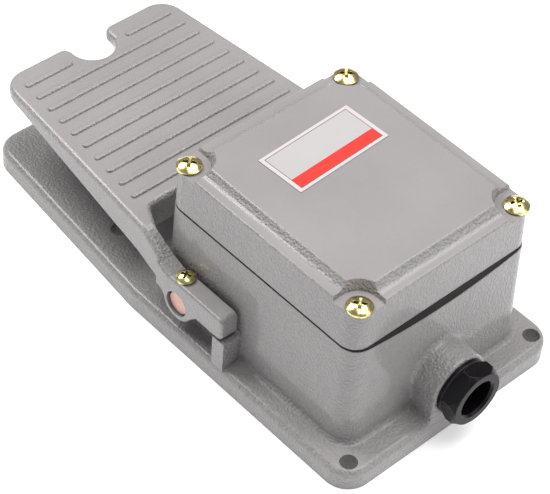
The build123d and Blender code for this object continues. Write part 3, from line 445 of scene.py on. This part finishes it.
def stained_and_shaded(tree, place, colour, stain):
    """the colour with stains here and there and painted shade in the recesses"""
    blotch = noise(tree, place, STAIN_SIZE, 2.0, 0.6).outputs["Fac"]
    stained = blend_colours(tree, spread(tree, blotch, *STAIN_RANGE, 0.0, stain), colour, shade(DIRT_AND_SHADE))
    # painted shade: darker where the walls of a recess stand closer than the reach
    painted_shade = spread(tree, openness(tree, RECESS_SHADE_REACH, 8), *RECESS_SHADE_RANGE, RECESS_SHADE_SHARE, 0.0)
    return blend_colours(tree, painted_shade, stained, shade(DIRT_AND_SHADE))


print("grime where walls stand closer than", RECESS_SHADE_REACH / MM, "mm")

# %% Make the metals
METAL_EDGE = 0.2 * MM
METAL_GRAIN = 0.25 * MM
METAL_DEPTH = 0.05 * MM


def metal(name, tones, roughness, drift=5 * MM, scratch=0.15, stain=0.15):
    """a metal of several tones, stained, with painted shade in its recesses, and finely scratched"""
    tree, shader, place = new_finish(name)
    tone = tone_ramp(tree, place, tones, drift)
    feed(tree, shader.inputs["Base Color"], stained_and_shaded(tree, place, tone, stain))
    shader.inputs["Metallic"].default_value = 1.0
    fine = noise(tree, place, METAL_GRAIN, 4.0, 0.7).outputs["Fac"]
    uneven = spread(tree, fine, *NOISE_RANGE, roughness - 0.07, roughness + 0.09)
    feed(tree, shader.inputs["Roughness"], uneven)
    press(tree, shader, fine, rounded(tree, METAL_EDGE, 4), scratch, METAL_DEPTH)


STRAW, PALE, OLIVE, ROSE = (0.76, 0.61, 0.22), (0.88, 0.77, 0.38), (0.66, 0.60, 0.26), (0.86, 0.60, 0.30)
metal("yellow_zinc", [STRAW, PALE, OLIVE, ROSE], 0.20, 3 * MM, stain=0.5)
metal("shaft_steel", [(0.52, 0.33, 0.28), (0.60, 0.40, 0.35)], 0.44, 4 * MM, scratch=0.5)
metal("bush_bronze", [(0.50, 0.31, 0.15), (0.58, 0.38, 0.20)], 0.40)
metal("inner_steel", [(0.55, 0.55, 0.54), (0.66, 0.66, 0.64)], 0.30, 12 * MM)
metal("spring_steel", [(0.30, 0.29, 0.28), (0.42, 0.41, 0.40)], 0.36)
metal("contact_brass", [(0.72, 0.52, 0.22), (0.80, 0.62, 0.32)], 0.28)
print(len(finishes), "finishes so far")

# %% [markdown]
# ## Mouldings
#
# The gland screw is black nylon: nearly black, with a satin highlight that shows the facets. The contact
# block is a harder, glossier black, and the plunger is undyed nylon. Plain black would lose the hexagon, so
# the edges are found with Bevel, as on the paint, and given a paler painted highlight.
# Two noises make the gloss a little uneven and give the faint grain of the mould.

# %% Make the mouldings
GLOSS_CLOUD = 6 * MM
MOULD_GRAIN = 0.3 * MM
MOULD_STRENGTH = 0.12
MOULD_DEPTH = 0.05 * MM
# painted highlight: how far the paler colour reaches over an edge, and how strong it is
MOULD_HIGHLIGHT_RANGE, MOULD_HIGHLIGHT_SHARE = (0.99, 0.88), 0.8


def moulding(name, colour, roughness, shine=0.5, edge=0.25 * MM):
    """a moulded plastic with a slightly uneven gloss and a painted highlight along its edges"""
    tree, shader, place = new_finish(name)
    cloud = noise(tree, place, GLOSS_CLOUD, 3.0).outputs["Fac"]
    grain = noise(tree, place, MOULD_GRAIN, 3.0).outputs["Fac"]
    body = blend_colours(tree, cloud, shade(colour, 0.8), shade(colour, 1.3))
    uneven = spread(tree, cloud, *NOISE_RANGE, roughness - 0.05, roughness + 0.07)
    feed(tree, shader.inputs["Roughness"], uneven)
    soft = rounded(tree, edge, 6)
    # painted highlight: a paler colour along the edges that Bevel finds
    painted_edge_highlight = spread(tree, flatness(tree, soft), *MOULD_HIGHLIGHT_RANGE, 0.0, MOULD_HIGHLIGHT_SHARE)
    feed(tree, shader.inputs["Base Color"], blend_colours(tree, painted_edge_highlight, body, shade(colour, 2.5, 0.06)))
    press(tree, shader, grain, soft, MOULD_STRENGTH, MOULD_DEPTH)
    shader.inputs["Specular IOR Level"].default_value = shine


moulding("gland_nylon", (0.006, 0.0052, 0.006), 0.22, 0.12, 0.5 * MM)
moulding("block_moulding", (0.030, 0.026, 0.024), 0.28)
moulding("plunger_moulding", (0.62, 0.57, 0.46), 0.40)
print(len(finishes), "finishes so far")

# %% [markdown]
# ## Printed label
#
# The plate on the cover is a white film with a thin dark frame and a red band along the side towards the
# cable. All wording is left off, so the white field stays clean. The print could be a picture laid on the
# plate, but it is only straight lines. So each point's place is turned into the label's own directions and
# compared with the sizes of the frame and the band, and the lines stay sharp however near one looks.

# %% Print the label
LABEL_TURN = math.radians(2.3)
FRAME_HALF = (20.0 * MM, 9.05 * MM)
LINE = 0.28 * MM
BAND_FROM = 4.0 * MM
FILM_CLOUD = 14 * MM
FILM = (0.42, 0.41, 0.41, 1), (0.45, 0.44, 0.44, 1)
MARGIN = (0.54, 0.51, 0.51, 1)
RED = (0.60, 0.034, 0.024, 1)
INK = (0.16, 0.08, 0.08, 1)


def printed_label(name):
    """white film with a frame line and a red band"""
    tree, shader, place = new_finish(name)
    low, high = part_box("label_plate")
    centred = add(tree, "VectorMath", {0: place, 1: (low + high) / 2}, operation="SUBTRACT").outputs[0]
    turned = add(tree, "VectorRotate", {"Vector": centred, "Angle": -LABEL_TURN}, rotation_type="Z_AXIS")
    axes = add(tree, "SeparateXYZ", {"Vector": turned.outputs[0]}).outputs
    beyond = [sums(tree, "SUBTRACT", sums(tree, "ABSOLUTE", axes[k]), FRAME_HALF[k]) for k in (0, 1)]
    outside = sums(tree, "MAXIMUM", beyond[0], beyond[1])
    inside = sums(tree, "LESS_THAN", outside, 0.0)
    line = sums(tree, "LESS_THAN", sums(tree, "ABSOLUTE", outside), LINE / 2)
    band = sums(tree, "MULTIPLY", inside, sums(tree, "GREATER_THAN", axes[1], BAND_FROM))
    film = blend_colours(tree, noise(tree, place, FILM_CLOUD, 3.0).outputs["Fac"], *FILM)
    field = blend_colours(tree, inside, MARGIN, film)
    with_band = blend_colours(tree, band, field, RED)
    feed(tree, shader.inputs["Base Color"], blend_colours(tree, line, with_band, INK))
    shader.inputs["Roughness"].default_value = 0.38


printed_label("label_film")
print("label frame", [round(2 * half / MM, 1) for half in FRAME_HALF], "mm, band from", BAND_FROM / MM, "mm")

# %% [markdown]
# ## Springs
#
# The pedal comes back up on a coil spring, and a lighter one sits on the plunger. A compression spring
# starts and ends with a closed coil, ground flat so that it stands square. A curve with a round profile
# would give the same coil, but not the ground ends. So each spring is a circle of points swept ring by
# ring along the helix, and a point that would stick out past an end is pushed back to the end's plane.

# %% Sweep a coil
RINGS_PER_TURN = 28
WIRE_SIDES = 10
CLOSED_TURNS = 0.75


def helix_height(turn, turns, wire, rise):
    """the height of the wire's centre after some turns: shallow in the closed ends, steep between them"""
    if turn < CLOSED_TURNS:
        return turn * wire
    if turn > turns - CLOSED_TURNS:
        return rise - (turns - turn) * wire
    share = (turn - CLOSED_TURNS) / (turns - 2 * CLOSED_TURNS)
    return CLOSED_TURNS * wire + share * (rise - 2 * CLOSED_TURNS * wire)


def coil_points(low, high, wire, turns, rings):
    """rings of points along the helix that fills a box, with both ends ground flat"""
    mean_r = (high.x - low.x - wire) / 2
    rise = high.z - low.z - wire / 2
    foot = Vector(((low.x + high.x) / 2, (low.y + high.y) / 2, low.z + wire / 4))
    points = []
    for k in range(rings):
        turn = k * turns / (rings - 1)
        outward = Vector((math.cos(math.tau * turn), math.sin(math.tau * turn), 0.0))
        centre = foot + outward * mean_r + Vector((0, 0, helix_height(turn, turns, wire, rise)))
        for j in range(WIRE_SIDES):
            around = math.tau * j / WIRE_SIDES
            out, up = wire / 2 * math.cos(around), wire / 2 * math.sin(around)
            point = centre + outward * out + Vector((0, 0, up))
            point.z = min(max(point.z, low.z), high.z)
            points.append(point)
    return points


def tube_faces(rings):
    """four-sided faces between the rings, and one face over each end"""
    faces = []
    for k in range(rings - 1):
        for j in range(WIRE_SIDES):
            a, b = k * WIRE_SIDES + j, k * WIRE_SIDES + (j + 1) % WIRE_SIDES
            faces.append((a, a + WIRE_SIDES, b + WIRE_SIDES, b))
    faces.append(tuple(range(WIRE_SIDES)))
    faces.append(tuple(reversed(range((rings - 1) * WIRE_SIDES, rings * WIRE_SIDES))))
    return faces


print("one turn of wire has", RINGS_PER_TURN * WIRE_SIDES, "points")

# %% [markdown]
# A spring gets shorter when the pedal goes down: its lower end follows the moving body and its upper end
# the housing. A rigid spring would run into the lever; the swept one takes the place of the plain one in the
# model, but nothing here makes it follow the bodies.

# %% Wind the springs
def coil_spring(node, wire, turns):
    """a compression spring with closed, ground ends, in the place of a node of the model"""
    low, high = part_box(node)
    rings = round(turns * RINGS_PER_TURN) + 1
    mesh = bpy.data.meshes.new(node + "_coil")
    mesh.from_pydata(coil_points(low, high, wire, turns, rings), [], tube_faces(rings))
    mesh.materials.append(finishes["spring_steel"])
    mesh.polygons.foreach_set("use_smooth", [True] * len(mesh.polygons))
    spring = bpy.data.objects.new(node + "_coil", mesh)
    bpy.context.scene.collection.objects.link(spring)
    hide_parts(node)
    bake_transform(spring)
    print(spring.name, "of", len(mesh.vertices), "points,", round((high.z - low.z) / MM, 1), "mm high")


coil_spring("return_spring", 1.8 * MM, 6)
coil_spring("plunger_spring", 0.8 * MM, 5)

# %% [markdown]
# ## Give every piece its finish
#
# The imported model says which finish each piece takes. They could be put on by hand, piece by piece, but a
# loop over that list forgets none. The inner pieces get theirs too: they show when the cover is taken off.

# %% Dress the pieces
for part in frame["record"]["subparts"]:
    piece = frame["nodes"][part["node"]]
    finish = finishes[part["material_slot"]]
    for k in range(len(piece.data.materials)):
        piece.data.materials[k] = finish
